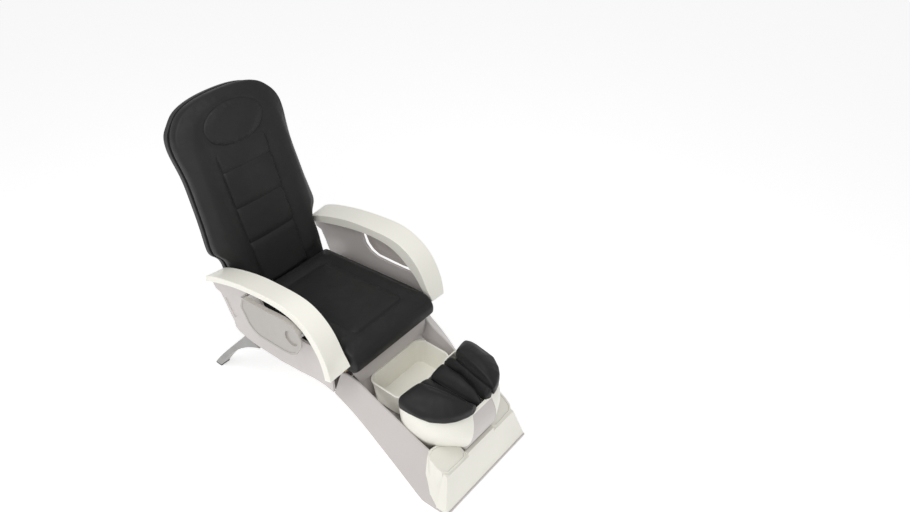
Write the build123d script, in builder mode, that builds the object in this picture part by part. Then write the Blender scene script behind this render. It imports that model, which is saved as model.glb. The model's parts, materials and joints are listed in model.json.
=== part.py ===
"""Pedicure spa chair: raised foot-bath body, fixed armrests with swing-out manicure trays,
sliding seat and reclining back.  Millimetres, +Z up, sitter looks towards -Y, floor at Z = 0."""
from build123d import *
import os
import math
from math import cos, sin, radians

os.makedirs("parts", exist_ok=True)

# ------------------------------------------------------------------ driving sizes
WIDTH_FACTOR = 1.0            # stretches every sideways size of the layout
LENGTH_FACTOR = 1.0           # stretches every fore-and-aft size of the layout
DATUM_Y = -39.5               # layout datum (seat hip line) ahead of the frame origin
FIT = 0.5                     # clearance between separately made pieces
WALL = 6.0                    # moulded wall

FLOOR_GAP = 4.0               # glides lift the plinth off the floor
PLINTH_TOP = 16.0

TUB_HALF = 165.0
TUB_BACK = -201.0
TUB_FRONT = -396.0
TUB_RIM_Z = 382.0
TUB_BOTTOM_Z = 262.0
TUB_CORNER = 46.0
TUB_DRAFT = 12.0
TUB_WALL = 5.0
TUB_RIM_OUT = 4.0
TUB_RIM_HIGH = 5.0

DRAIN_Y = -350.0
DRAIN_R = 19.0
FLANGE_R = 27.0
STOPPER_R = 24.0
STEM_R = 4.0
PIPE_WALL = 3.0
PIPE_END_Z = 190.0
SPIGOT_TOP_Z = 234.0
SPIGOT_R = 19.5

PANEL_IN = 300.0              # arm side panel, inner and outer face
PANEL_OUT = 312.0
BAND_IN = 257.0
BAND_OUT = 357.0
TRAY_IN = 350.0
TRAY_OUT = 372.0
TRAY_RIM = 9.0
TRAY_SINK = 2.0
TRAY_PLATE = 7.0
TRAY_CORNER = 13.0
TRAY_AXIS_X = 356.0
TRAY_AXIS_Z = 690.0
TRAY_LUGS = ((-66.0, -57.0, -40.0), (310.0, 299.0, 276.0))   # lug far face, near face, pin tip
TRAY_LUG_IN = (343.0, 312.3)
TRAY_LUG_HALF = 5.0
TRAY_PIN_R = 3.0
TRAY_PIN_PLAY = 0.08
BORE_REACH = 1.05             # hinge bore depth over pin length
DISH_Y = -2.0
DISH_Z = 647.0
DISH_R = 37.0
DISH_DEEP = 9.0
DISH_WALL = 4.0

SEAT_HALF = 252.0
SEAT_BOTTOM = 466.0
PAN_THICK = 10.0
FRAME_TUBE = 20.0
RAIL_X = 165.0
RAIL_WIDE = 34.0
RAIL_HIGH = 11.0
CROSS_THICK = 7.0
CROSS_WIDE = 44.0

BACK_TILT = 16.7
BACK_FOOT_Y = 447.0
BACK_FOOT_Z = 508.0
BACK_FOAM = 72.0
BACK_SHELL = 26.0
BACK_WIDTH_FACTOR = 1.0
CENTRE_HALF = 128.0
CENTRE_LOW = 26.0
CENTRE_HIGH = 662.0
CENTRE_SINK = 12.0
CENTRE_PROUD = 3.0
CENTRE_CORNER = 12.0
PILLOW_H = 767.0
PILLOW_HALF = 157.0
PILLOW_TALL = 96.0
PILLOW_THICK = 18.0
PILLOW_SINK = 6.0
PILLOW_ROUND = 8.0
HINGE_Y = 456.0
HINGE_Z = 455.0
HINGE_R = 18.0
HINGE_PIN_R = 7.0
HINGE_PLAY = 0.08
ARM_X = 186.0                 # back frame bars
BAR_WIDE = 12.0
BAR_DEEP = 10.0
BAR_TOP = 520.0
CROSS_BARS = (60.0, 500.0)
LUG_WIDE = 8.0
MOTOR_R = 24.0

LEG_IN = 245.0
LEG_OUT = 297.0
BOLT_R = 4.0
BOLT_HOLE_R = 4.3
BOLT_HEAD_R = 7.0
BOLT_HEAD = 5.0
BOLT_SEAT_Z = 346.0
BOLT_TOP_Z = 401.0

PAD_BOTTOM = 415.0
PAD_TOP = 500.0
ROLL_TOPS = (468.0, 430.0)
ROLL_BOTTOMS = (388.0, 366.0)
PAD_ROUND = 12.0

# ------------------------------------------------------------------ outline tables (layout Y, Z)
BAND_TOP_OUTER = [(552, 680), (500, 705), (400, 736), (280, 762), (170, 777), (100, 783), (40, 782),
                  (-15, 770), (-69, 745), (-110, 714), (-140, 677), (-163, 635), (-180, 590),
                  (-190, 540), (-193, 508)]
BAND_LOW_OUTER = [(-160, 498), (-154, 545), (-143, 589), (-126, 628), (-102, 664), (-73, 696),
                  (-42, 719), (2, 738), (59, 749), (120, 750), (195, 745), (267, 735), (348, 720),
                  (443, 693), (505, 672), (556, 652)]
BAND_TOP_INNER = [(552, 668), (500, 692), (400, 726), (280, 754), (170, 766), (100, 770), (40, 770),
                  (-15, 761), (-69, 736), (-108, 704), (-140, 664), (-163, 620), (-180, 585),
                  (-198, 556), (-209, 534)]
BAND_LOW_INNER = [(-180, 520), (-166, 545), (-143, 578), (-126, 604), (-101, 632), (-68, 662),
                  (-30, 690), (14, 713), (60, 725), (117, 729), (189, 725), (231, 720), (312, 705),
                  (409, 682), (500, 657), (556, 638)]
PANEL_EDGE = [(556, 640), (580, 606), (568, 580), (535, 572), (513, 526), (492, 471), (475, 437),
              (472, 402), (450, 385), (400, 374), (336, 367), (173, 369), (42, 384), (-41, 397),
              (-96, 398), (-150, 388), (-150, 500), (-158, 512), (-150, 545), (-136, 580),
              (-124, 599), (-98, 599), (-17, 589), (75, 583), (163, 582), (204, 595), (234, 624),
              (260, 703), (272, 717), (348, 703), (443, 679), (505, 659)]
PANEL_RECESS = [(506, 556), (486, 568), (441, 484), (464, 462)]
RECESS_DEEP = 4.0
TRAY_EDGE = [(308, 652), (285, 708), (145, 714), (40, 727), (-16, 719), (-50, 696), (-64, 660),
             (-58, 629), (-22, 572), (12, 549), (55, 541), (145, 538), (209, 536), (245, 550),
             (272, 575)]
TRAY_HOLLOW = [(-100, 500), (400, 500), (400, 678), (268, 678), (268, 701), (-32, 701),
               (-32, 678), (-100, 678)]
FLANK = [(-152, 262, 464, 308, 384, 202), (-192, 236, 434, 306, 360, 198), (-241, 231, 411, 303, 328, 198),
         (-325, 230, 374, 297, 257, 206), (-426, 221, 320, 290, 162, 214), (-527, 213, 264, 284, 67, 219),
         (-596, 207, 231, 279, 4, 220)]
FLANK_END = (-664, 202, 192, 278, 4, 220)
CHEEK_SIDE = [(-573, 260), (-573, 208), (-581, 136), (-619, 54), (-664, 16.5), (-720, 16.5), (-720, 260)]
FLANK_RIDGE = 7.0
PAN_LINE = [(-156, 402), (-190, 380), (-192, 252), (-330, 240), (-426, 158), (-527, 66), (-600, 10)]
PAN_HALF = 197.0
PAN_SPREAD = 24.0
SEAT_BOX_LINE = [(-148, 398), (-96, 404), (-41, 403), (42, 390), (173, 375), (336, 373), (400, 379),
                 (446, 392), (466, 424)]
SEAT_BOX_HALF = 296.0
APRON_LINE = [(-168, 462), (-186, 452), (-196, 430), (-199, 388)]
APRON_HALF = 226.0
APRON_FACE = [(-224, 470), (-224, 438), (-200, 378), (200, 378), (224, 438), (224, 470)]
BLOCK_SIDE = [(-719, 16.5), (-687, 178), (-663, 193), (-663, 16.5)]
BLOCK_CORNER = [(276, 16), (340, 16), (340, 262), (206, 262)]
LIP_HALF = 88.0
LIP_SIDE = [(-687, 177), (-683, 195), (-668, 196), (-664, 177)]
BLOCK_CAP = (-604.0, 234.0)
CAP_SLOPE = 33.3
CAP_EDGE = [(-232, 20), (-205, 31), (-171, 26), (-110, -12), (-91, -44), (-93, -78), (-107, -92),
            (-138, -94), (-214, -90), (-234, -70), (-239, -40), (-239, 0)]
CAP_RIM = 8.0
CAP_THICK = 5.0
CAP_SINK = 2.5
CAP_ROUND = 9.0
CAP_GAP = 0.2
POST_DEEP = 260.0
LEG_TOP_EDGE = [(429, 366), (508, 277), (625, 148), (742, 7)]
LEG_LOW_EDGE = [(702, 7), (551, 190), (459, 268), (345, 330)]
LEG_BOLT_Y = (372.0, 402.0)
SEAT_EDGE = [(-206, 466.5), (-236, 492), (-238, 535), (-216, 570), (-165, 589), (438, 541),
             (443, 520), (433, 466.5)]
SEAT_ROUND = 16.0
BACK_EDGE = [(246, 9), (250, 80), (250, 150), (251, 200), (260, 221), (284, 250), (290, 290),
             (286, 340), (280, 420), (276, 520), (275, 600), (280, 660), (287, 730), (284, 775),
             (272, 810), (250, 842), (215, 875), (165, 898), (100, 911), (0, 916)]
BACK_ROUND = 20.0
PEDESTAL = [(412.0, [(168, -400), (212, -424), (220, -478), (202, -580), (147, -651), (62, -681)]),
            (318.0, [(164, -400), (204, -424), (212, -485), (197, -588), (151, -662), (77, -700)]),
            (195.0, [(156, -400), (184, -430), (186, -480), (150, -552), (108, -594), (84, -664)])]
PEDESTAL_WALL = 7.0
SPINE_TOP = 61.0
SPINE_FOOT = 96.0
SPINE_THICK = 6.0
SPINE_TOP_Z = 402.0
SPINE_LOW_Z = 197.0
PAD_PLAN = [(116, -452), (170, -436), (212, -424), (229, -438), (229, -482), (212, -583),
            (181, -631), (149, -661), (102, -684), (66, -693)]
ROLL_PLANS = [[(85, -414), (113, -440), (64, -672), (26, -664), (58, -602), (80, -520)],
              [(6, -402), (79, -414), (74, -520), (52, -602), (20, -656), (6, -656)]]
GROOVE = [(-119, 414), (-64, 384), (-58, 355), (58, 355), (64, 384), (119, 414), (119, 430),
          (-119, 430)]


# ------------------------------------------------------------------ planes and outlines
def side(x):
    """Plane looking along +X: local coordinates are layout Y and Z."""
    return Plane(origin=(x * WIDTH_FACTOR, DATUM_Y, 0), x_dir=(0, 1, 0), z_dir=(1, 0, 0))


def plan(z):
    """Horizontal plane at height z."""
    return Plane(origin=(0, DATUM_Y, z), x_dir=(1, 0, 0), z_dir=(0, 0, 1))


def facing(y):
    """Upright plane looking towards the front: local coordinates are X and Z."""
    return Plane(origin=(0, DATUM_Y + y * LENGTH_FACTOR, 0), x_dir=(1, 0, 0), z_dir=(0, -1, 0))


def back_plane(forward):
    """Plane of the back's front face moved forward; local coordinates are X and height up the back."""
    tilt = radians(BACK_TILT)
    normal = Vector(0, -cos(tilt), sin(tilt))
    foot = Vector(0, DATUM_Y + BACK_FOOT_Y * LENGTH_FACTOR, BACK_FOOT_Z)
    return Plane(origin=foot + normal * forward, x_dir=(1, 0, 0), z_dir=normal)


def long(table):
    """Side outline with the length factor applied."""
    return [(y * LENGTH_FACTOR, z) for y, z in table]


def wide(table):
    """Front outline with the width factor applied."""
    return [(x * WIDTH_FACTOR, z) for x, z in table]


def both(table):
    """Plan outline with both factors applied."""
    return [(x * WIDTH_FACTOR, y * LENGTH_FACTOR) for x, y in table]


def polygon(plane, points, radius=0.0, inset=0.0):
    """Closed outline, optionally inset and with rounded corners."""
    with BuildSketch(plane) as sketch:
        with BuildLine():
            Polyline(*points, close=True)
        make_face()
        if radius > 0:
            fillet(sketch.vertices(), radius)
        if inset > 0:
            offset(amount=-inset, kind=Kind.INTERSECTION, mode=Mode.REPLACE)
    return sketch.sketch


def between(plane, upper, lower):
    """Face between two smooth curves whose ends are joined by straight lines."""
    with BuildSketch(plane) as sketch:
        with BuildLine():
            first = Spline(*upper)
            second = Spline(*lower)
            Line(first @ 1, second @ 0)
            Line(second @ 1, first @ 0)
        make_face()
    return sketch.sketch


def strip(plane, line, thick):
    """Constant-thickness strip under an open chain of points."""
    lower = [(y, z - thick) for y, z in reversed(line)]
    return polygon(plane, list(line) + lower)


def disc(plane, centre, radius):
    """Round outline."""
    with BuildSketch(plane) as sketch:
        with Locations(centre):
            Circle(radius)
    return sketch.sketch


def block(plane, centre, size_u, size_v):
    """Rectangular outline."""
    with BuildSketch(plane) as sketch:
        with Locations(centre):
            Rectangle(size_u, size_v)
    return sketch.sketch


def tub_outline(z, grow):
    """Plan outline of the foot bath at height z, grown by an offset."""
    draft = TUB_DRAFT * (TUB_RIM_Z - z) / (TUB_RIM_Z - TUB_BOTTOM_Z)
    half = TUB_HALF * WIDTH_FACTOR - draft + grow
    back = TUB_BACK * LENGTH_FACTOR - draft + grow
    front = TUB_FRONT * LENGTH_FACTOR + draft - grow
    with BuildSketch(plan(z)) as sketch:
        with Locations((0, (back + front) / 2)):
            RectangleRounded(2 * half, back - front, TUB_CORNER - draft / 2 + grow)
    return sketch.sketch


def pedestal_outline(index, inset):
    """Plan outline of the foot-rest pedestal at one of its three heights."""
    height, table = PEDESTAL[index]
    right = [((x - inset) * WIDTH_FACTOR, y * LENGTH_FACTOR + (inset if y < -500 else -inset))
             for x, y in table]
    left = [(-x, y) for x, y in reversed(right)]
    with BuildSketch(plan(height)) as sketch:
        with BuildLine():
            outer = Spline(*right)
            inner = Spline(*left)
            Line(outer @ 1, inner @ 0)
            Line(inner @ 1, outer @ 0)
        make_face()
    return sketch.sketch


def back_outline(forward, inset):
    """Outline of the back rest, inset all round."""
    right = [(max(x * WIDTH_FACTOR * BACK_WIDTH_FACTOR - inset, 0), h) for x, h in BACK_EDGE]
    crown = [(x, h - inset * (h > BACK_EDGE[-6][1])) for x, h in right]
    left = [(-x, h) for x, h in reversed(crown[:-1])]
    with BuildSketch(back_plane(forward)) as sketch:
        with BuildLine():
            edge = Spline(*crown, *left)
            Line(edge @ 1, edge @ 0)
        make_face()
    return sketch.sketch


def flank_section(station, sign):
    """Wedge section of the body's side wall at one station."""
    y, top_x, top_z, low_x, low_z, foot_x = station
    points = [(sign * top_x, top_z), (sign * low_x, low_z), (sign * foot_x, low_z),
              (sign * (top_x - FLANK_RIDGE), top_z)]
    return polygon(facing(y), wide(points))


def cap_plane(sign):
    """Sloping plane the corner caps lie in."""
    slope = radians(CAP_SLOPE)
    return Plane(origin=(0, DATUM_Y + BLOCK_CAP[0] * LENGTH_FACTOR, BLOCK_CAP[1]), x_dir=(1, 0, 0),
                 z_dir=(0, -sin(slope), cos(slope)))


def cap_outline(sign):
    """Corner cap outline in its own plane."""
    return [(-sign * x * WIDTH_FACTOR, y * LENGTH_FACTOR) for x, y in CAP_EDGE]


def save(builder, name):
    """Label a finished piece and write it out."""
    builder.part.label = name
    export_step(builder.part, f"parts/{name}.step")


SIDES = (("right", -1), ("left", 1))

# ------------------------------------------------------------------ body
with BuildPart() as base_shell:
    for _, sign in SIDES:
        loft(sections=[flank_section(station, sign) for station in FLANK])
        loft(sections=[flank_section(FLANK[-1], sign), flank_section(FLANK_END, sign)], ruled=True)
    seam = [(y + FIT, z - FIT) for y, z in long(CHEEK_SIDE)]
    extrude(polygon(side(-PANEL_IN), seam), amount=2 * PANEL_IN * WIDTH_FACTOR, mode=Mode.SUBTRACT)
    pan = strip(side(-PAN_HALF - PAN_SPREAD), long(PAN_LINE), WALL)
    extrude(pan, amount=2 * (PAN_HALF + PAN_SPREAD) * WIDTH_FACTOR)
    extrude(disc(plan(0), (0, DRAIN_Y * LENGTH_FACTOR), DRAIN_R + PIPE_WALL + 2), amount=TUB_BOTTOM_Z,
            mode=Mode.SUBTRACT)
save(base_shell, "base_shell")

with BuildPart() as seat_box:
    extrude(strip(side(-SEAT_BOX_HALF), long(SEAT_BOX_LINE), WALL), amount=2 * SEAT_BOX_HALF * WIDTH_FACTOR)
    for _, sign in SIDES:
        for bolt_y in LEG_BOLT_Y:
            spot = (sign * (LEG_IN + LEG_OUT) / 2 * WIDTH_FACTOR, bolt_y * LENGTH_FACTOR)
            extrude(disc(plan(SEAT_BOTTOM - PAN_THICK), spot, BOLT_HOLE_R), amount=-SEAT_BOTTOM / 2,
                    mode=Mode.SUBTRACT)
save(seat_box, "seat_box")

with BuildPart() as apron:
    extrude(strip(side(-APRON_HALF), long(APRON_LINE), WALL), amount=2 * APRON_HALF * WIDTH_FACTOR)
    extrude(polygon(facing(APRON_LINE[-1][0] - 1), wide(APRON_FACE)), amount=-APRON_HALF,
            mode=Mode.INTERSECT)
save(apron, "apron")

with BuildPart() as front_panel:
    for _, sign in SIDES:
        loft(sections=[flank_section(FLANK[-2], sign), flank_section(FLANK[-1], sign)], ruled=True)
        loft(sections=[flank_section(FLANK[-1], sign), flank_section(FLANK_END, sign)], ruled=True)
        extrude(polygon(cap_plane(sign), cap_outline(sign), CAP_ROUND), amount=POST_DEEP, dir=(0, 0, -1))
    extrude(polygon(side(-PANEL_IN), long(CHEEK_SIDE)), amount=2 * PANEL_IN * WIDTH_FACTOR,
            mode=Mode.INTERSECT)
    extrude(polygon(side(-PANEL_IN), long(BLOCK_SIDE)), amount=2 * PANEL_IN * WIDTH_FACTOR)
    for _, sign in SIDES:
        wedge = [(sign * x, z) for x, z in wide(BLOCK_CORNER)]
        extrude(polygon(facing(BLOCK_SIDE[2][0]), wedge), amount=PANEL_IN, mode=Mode.SUBTRACT)
    extrude(polygon(side(-LIP_HALF), long(LIP_SIDE)), amount=2 * LIP_HALF * WIDTH_FACTOR)
    loft(sections=[pedestal_outline(index, -FIT) for index in (2, 1, 0)], mode=Mode.SUBTRACT)
save(front_panel, "front_panel")

with BuildPart() as front_plinth:
    plinth = [(-278, FLANK_END[0] - FIT), (278, FLANK_END[0] - FIT), (278, -723), (-278, -723)]
    extrude(polygon(plan(FLOOR_GAP), both(plinth)), amount=PLINTH_TOP - FLOOR_GAP)
save(front_plinth, "front_plinth")

GLIDE_R = 16.0
GLIDE_X = 240.0
GLIDE_Y = -700.0
with BuildPart() as front_glides:
    for _, sign in SIDES:
        spot = (sign * GLIDE_X * WIDTH_FACTOR, GLIDE_Y * LENGTH_FACTOR)
        extrude(disc(plan(0), spot, GLIDE_R), amount=FLOOR_GAP)
save(front_glides, "front_glides")

# ------------------------------------------------------------------ foot bath and pedestal
REACH = 80.0                   # long enough to cut through any wall
spine_shape = [(-SPINE_FOOT, SPINE_LOW_Z), (-SPINE_TOP, SPINE_TOP_Z), (SPINE_TOP, SPINE_TOP_Z),
               (SPINE_FOOT, SPINE_LOW_Z)]

with BuildPart() as foot_basin:
    loft(sections=[tub_outline(TUB_BOTTOM_Z, 0), tub_outline(TUB_RIM_Z, 0)])
    extrude(tub_outline(TUB_RIM_Z, TUB_RIM_OUT), amount=-TUB_RIM_HIGH)
    loft(sections=[tub_outline(TUB_BOTTOM_Z + TUB_WALL, -TUB_WALL),
                   tub_outline(TUB_RIM_Z + 1, -TUB_WALL)], mode=Mode.SUBTRACT)
    extrude(disc(plan(TUB_BOTTOM_Z - 1), (0, DRAIN_Y * LENGTH_FACTOR), DRAIN_R), amount=2 * TUB_WALL,
            mode=Mode.SUBTRACT)
save(foot_basin, "foot_basin")

with BuildPart() as foot_pedestal:
    loft(sections=[pedestal_outline(index, 0) for index in (2, 1, 0)])
    loft(sections=[pedestal_outline(index, PEDESTAL_WALL) for index in (2, 1, 0)], mode=Mode.SUBTRACT)
    loft(sections=[tub_outline(TUB_BOTTOM_Z - 1, FIT), tub_outline(TUB_RIM_Z, FIT)], mode=Mode.SUBTRACT)
    extrude(tub_outline(TUB_RIM_Z - TUB_RIM_HIGH - FIT, TUB_RIM_OUT + FIT), amount=REACH, mode=Mode.SUBTRACT)
    extrude(polygon(facing(TUB_FRONT + REACH / 2), wide(GROOVE)), amount=REACH, mode=Mode.SUBTRACT)
    cut = [(x + math.copysign(3 * FIT, x), z + FIT * (1 if z > SPINE_LOW_Z else -9)) for x, z in spine_shape]
    extrude(polygon(facing(PEDESTAL[0][1][3][1]), wide(cut)), amount=2 * REACH, mode=Mode.SUBTRACT)
save(foot_pedestal, "foot_pedestal")

with BuildPart() as spine_panel:
    loft(sections=[pedestal_outline(index, 1) for index in (2, 1, 0)])
    loft(sections=[pedestal_outline(index, 1 + SPINE_THICK) for index in (2, 1, 0)], mode=Mode.SUBTRACT)
    extrude(polygon(facing(PEDESTAL[0][1][3][1] - REACH / 2), wide(spine_shape)), amount=2 * REACH,
            mode=Mode.INTERSECT)
save(spine_panel, "spine_panel")

SLEEVE_DOWN = 14.0
with BuildPart() as drain_flange:
    hub = (0, DRAIN_Y * LENGTH_FACTOR)
    extrude(disc(plan(TUB_BOTTOM_Z + TUB_WALL + 0.2), hub, FLANGE_R), amount=2)
    extrude(disc(plan(TUB_BOTTOM_Z + TUB_WALL + 0.2), hub, DRAIN_R - 0.3), amount=-SLEEVE_DOWN)
    extrude(disc(plan(TUB_BOTTOM_Z + TUB_WALL + 3), hub, DRAIN_R - PIPE_WALL), amount=-2 * SLEEVE_DOWN,
            mode=Mode.SUBTRACT)
    for angle in (0, 90):
        with BuildSketch(plan(TUB_BOTTOM_Z - 4)):
            with Locations(Location((*hub, 0), (0, 0, angle))):
                Rectangle(2 * DRAIN_R - 5, 3)
        extrude(amount=3)
    extrude(disc(plan(TUB_BOTTOM_Z - 4), hub, STEM_R + 3), amount=3)
    extrude(disc(plan(TUB_BOTTOM_Z - 5), hub, STEM_R + HINGE_PLAY), amount=6, mode=Mode.SUBTRACT)
save(drain_flange, "drain_flange")

STOPPER_GAP = 3.0
with BuildPart() as drain_stopper:
    extrude(disc(plan(TUB_BOTTOM_Z + TUB_WALL + STOPPER_GAP), hub, STOPPER_R), amount=4)
    fillet(drain_stopper.edges().group_by(Axis.Z)[-1], 1.5)
    extrude(disc(plan(TUB_BOTTOM_Z + TUB_WALL + STOPPER_GAP + 1), hub, STEM_R), amount=-2.5 * SLEEVE_DOWN)
save(drain_stopper, "drain_stopper")

with BuildPart() as drain_pipe:
    extrude(disc(plan(TUB_BOTTOM_Z - 0.3), hub, DRAIN_R + PIPE_WALL), amount=SPIGOT_TOP_Z - TUB_BOTTOM_Z)
    extrude(disc(plan(SPIGOT_TOP_Z), hub, SPIGOT_R), amount=PIPE_END_Z - SPIGOT_TOP_Z)
    extrude(disc(plan(TUB_BOTTOM_Z), hub, SPIGOT_R - PIPE_WALL), amount=2 * (PIPE_END_Z - TUB_BOTTOM_Z),
            mode=Mode.SUBTRACT)
    extrude(disc(plan(TUB_BOTTOM_Z), hub, DRAIN_R), amount=-SLEEVE_DOWN, mode=Mode.SUBTRACT)
save(drain_pipe, "drain_pipe")

with BuildPart() as pads:
    for _, sign in SIDES:
        plan_points = [(sign * x, y) for x, y in both(PAD_PLAN)]
        extrude(polygon(plan(PAD_BOTTOM), plan_points), amount=PAD_TOP - PAD_BOTTOM)
    fillet(pads.edges().group_by(Axis.Z)[-1], PAD_ROUND)
save(pads, "foot_pads")

for index in (0, 1):
    with BuildPart() as roll:
        for _, sign in SIDES:
            plan_points = [(sign * x, y) for x, y in both(ROLL_PLANS[index])]
            extrude(polygon(plan(ROLL_BOTTOMS[index]), plan_points),
                    amount=ROLL_TOPS[index] - ROLL_BOTTOMS[index])
        fillet(roll.edges().group_by(Axis.Z)[-1], PAD_ROUND / 3)
    save(roll, ("foot_roll_outer", "foot_roll_inner")[index])

# ------------------------------------------------------------------ front corner caps
for name, sign in SIDES:
    with BuildPart() as corner_cap:
        seat_plane = cap_plane(sign).offset(CAP_GAP)
        extrude(polygon(seat_plane, cap_outline(sign), CAP_ROUND), amount=CAP_THICK)
        plate = polygon(seat_plane.offset(CAP_THICK), cap_outline(sign), CAP_ROUND, CAP_RIM)
        extrude(plate, amount=-CAP_SINK, mode=Mode.SUBTRACT)
        loft(sections=[pedestal_outline(index, -FIT) for index in (2, 1, 0)], mode=Mode.SUBTRACT)
    save(corner_cap, f"corner_cap_{name}")

# ------------------------------------------------------------------ legs and inner frame
with BuildPart() as leg_feet:
    for _, sign in SIDES:
        foot_y = (LEG_TOP_EDGE[-1][0] + LEG_LOW_EDGE[0][0]) / 2 * LENGTH_FACTOR
        spot = (sign * (LEG_IN + LEG_OUT) / 2 * WIDTH_FACTOR, foot_y)
        extrude(block(plan(0), spot, LEG_OUT - LEG_IN, LEG_TOP_EDGE[-1][0] - LEG_LOW_EDGE[0][0]),
                amount=LEG_TOP_EDGE[-1][1] - 0.2)
save(leg_feet, "leg_feet")

for name, sign in SIDES:
    with BuildPart() as leg:
        extrude(between(side(sign * LEG_IN), long(LEG_TOP_EDGE), long(LEG_LOW_EDGE)),
                amount=sign * (LEG_OUT - LEG_IN) * WIDTH_FACTOR)
        for bolt_y in LEG_BOLT_Y:
            spot = (sign * (LEG_IN + LEG_OUT) / 2 * WIDTH_FACTOR, bolt_y * LENGTH_FACTOR)
            extrude(disc(plan(SEAT_BOTTOM), spot, BOLT_HOLE_R), amount=-SEAT_BOTTOM, mode=Mode.SUBTRACT)
            extrude(disc(plan(BOLT_SEAT_Z), spot, BOLT_HEAD_R + 1), amount=-SEAT_BOTTOM / 2,
                    mode=Mode.SUBTRACT)
    save(leg, f"leg_{name}")

with BuildPart() as leg_bolts:
    for _, sign in SIDES:
        for bolt_y in LEG_BOLT_Y:
            spot = (sign * (LEG_IN + LEG_OUT) / 2 * WIDTH_FACTOR, bolt_y * LENGTH_FACTOR)
            extrude(disc(plan(BOLT_SEAT_Z), spot, BOLT_HEAD_R), amount=-BOLT_HEAD)
            extrude(disc(plan(BOLT_SEAT_Z), spot, BOLT_R), amount=BOLT_TOP_Z - BOLT_SEAT_Z)
save(leg_bolts, "leg_bolts")

PAN_TOP = SEAT_BOTTOM - FIT
FRAME_TOP = PAN_TOP - PAN_THICK
RAIL_TOP = FRAME_TOP - FRAME_TUBE
FIXED_TOP = RAIL_TOP - RAIL_HIGH - FIT
CROSS_TOP = FIXED_TOP - RAIL_HIGH
CROSS_Y = (-72.0, 384.0)
BLOCK_LOW_Z = 388.0
with BuildPart() as chassis_frame:
    for cross_y in CROSS_Y:
        with BuildSketch(plan(CROSS_TOP)):
            with Locations((0, cross_y * LENGTH_FACTOR)):
                Rectangle(2 * (PANEL_IN - FIT) * WIDTH_FACTOR, CROSS_WIDE)
        extrude(amount=-CROSS_THICK)
    for _, sign in SIDES:
        spot = (sign * (LEG_IN + LEG_OUT) / 2 * WIDTH_FACTOR, sum(LEG_BOLT_Y) / 2 * LENGTH_FACTOR)
        extrude(block(plan(BLOCK_LOW_Z), spot, LEG_OUT - LEG_IN - 2, 2 * CROSS_WIDE * 0.7),
                amount=CROSS_TOP - CROSS_THICK - BLOCK_LOW_Z)
        for bolt_y in LEG_BOLT_Y:
            spot = (sign * (LEG_IN + LEG_OUT) / 2 * WIDTH_FACTOR, bolt_y * LENGTH_FACTOR)
            extrude(disc(plan(BLOCK_LOW_Z - 1), spot, BOLT_R + HINGE_PLAY),
                    amount=BOLT_TOP_Z - BLOCK_LOW_Z + 2, mode=Mode.SUBTRACT)
save(chassis_frame, "chassis_frame")

RAIL_SPAN = (-92.0, 404.0)
CARRIAGE_SPAN = (-110.0, 330.0)
with BuildPart() as fixed_rails:
    for _, sign in SIDES:
        spot = (sign * RAIL_X * WIDTH_FACTOR, sum(RAIL_SPAN) / 2 * LENGTH_FACTOR)
        extrude(block(plan(CROSS_TOP + 0.2), spot, RAIL_WIDE, (RAIL_SPAN[1] - RAIL_SPAN[0]) * LENGTH_FACTOR),
                amount=RAIL_HIGH - 0.2)
save(fixed_rails, "fixed_rails")

with BuildPart() as moving_rails:
    for _, sign in SIDES:
        spot = (sign * RAIL_X * WIDTH_FACTOR, sum(CARRIAGE_SPAN) / 2 * LENGTH_FACTOR)
        extrude(block(plan(RAIL_TOP - 0.2), spot, RAIL_WIDE - 8,
                      (CARRIAGE_SPAN[1] - CARRIAGE_SPAN[0]) * LENGTH_FACTOR), amount=0.2 - RAIL_HIGH)
save(moving_rails, "moving_rails")

# ------------------------------------------------------------------ seat
FRAME_SPAN = (-160.0, 408.0)
FRAME_CROSS_Y = (-150.0, 120.0, 396.0)
CROSS_TUBE = 24.0
ROD_LUG_GAP = 1.5
LUG_IN = ARM_X - BAR_WIDE / 2 - FIT - LUG_WIDE
LUG_OUT = ARM_X + BAR_WIDE / 2 + FIT
lug_shape = [(380, RAIL_TOP), (HINGE_Y - 8, RAIL_TOP), (HINGE_Y + 17, HINGE_Z - 6), (HINGE_Y, HINGE_Z + 18),
             (HINGE_Y - 17, HINGE_Z + 6), (HINGE_Y - 30, FRAME_TOP), (380, FRAME_TOP)]
with BuildPart() as seat_frame:
    for _, sign in SIDES:
        spot = (sign * RAIL_X * WIDTH_FACTOR, sum(FRAME_SPAN) / 2 * LENGTH_FACTOR)
        extrude(block(plan(RAIL_TOP), spot, FRAME_TUBE, (FRAME_SPAN[1] - FRAME_SPAN[0]) * LENGTH_FACTOR),
                amount=FRAME_TUBE)
        for lug_x in (LUG_IN, LUG_OUT):
            extrude(polygon(side(sign * lug_x), long(lug_shape)), amount=sign * LUG_WIDE)
    for cross_y in FRAME_CROSS_Y:
        spot = (0, cross_y * LENGTH_FACTOR)
        extrude(block(plan(RAIL_TOP), spot, 2 * (LUG_OUT + LUG_WIDE) * WIDTH_FACTOR, CROSS_TUBE),
                amount=FRAME_TUBE)
    extrude(disc(side(-SEAT_HALF), (HINGE_Y * LENGTH_FACTOR, HINGE_Z), HINGE_PIN_R + HINGE_PLAY),
            amount=2 * SEAT_HALF * WIDTH_FACTOR, mode=Mode.SUBTRACT)
    ROD_Z = CROSS_TOP + RAIL_HIGH
    rod_lug = (CROSS_TOP + ROD_LUG_GAP, FRAME_TOP - FRAME_TUBE / 2)
    extrude(block(facing(FRAME_CROSS_Y[0] - CROSS_TUBE / 2), (0, sum(rod_lug) / 2), FRAME_TUBE,
                  rod_lug[1] - rod_lug[0]), amount=-CROSS_TUBE)
save(seat_frame, "seat_frame")

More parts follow.
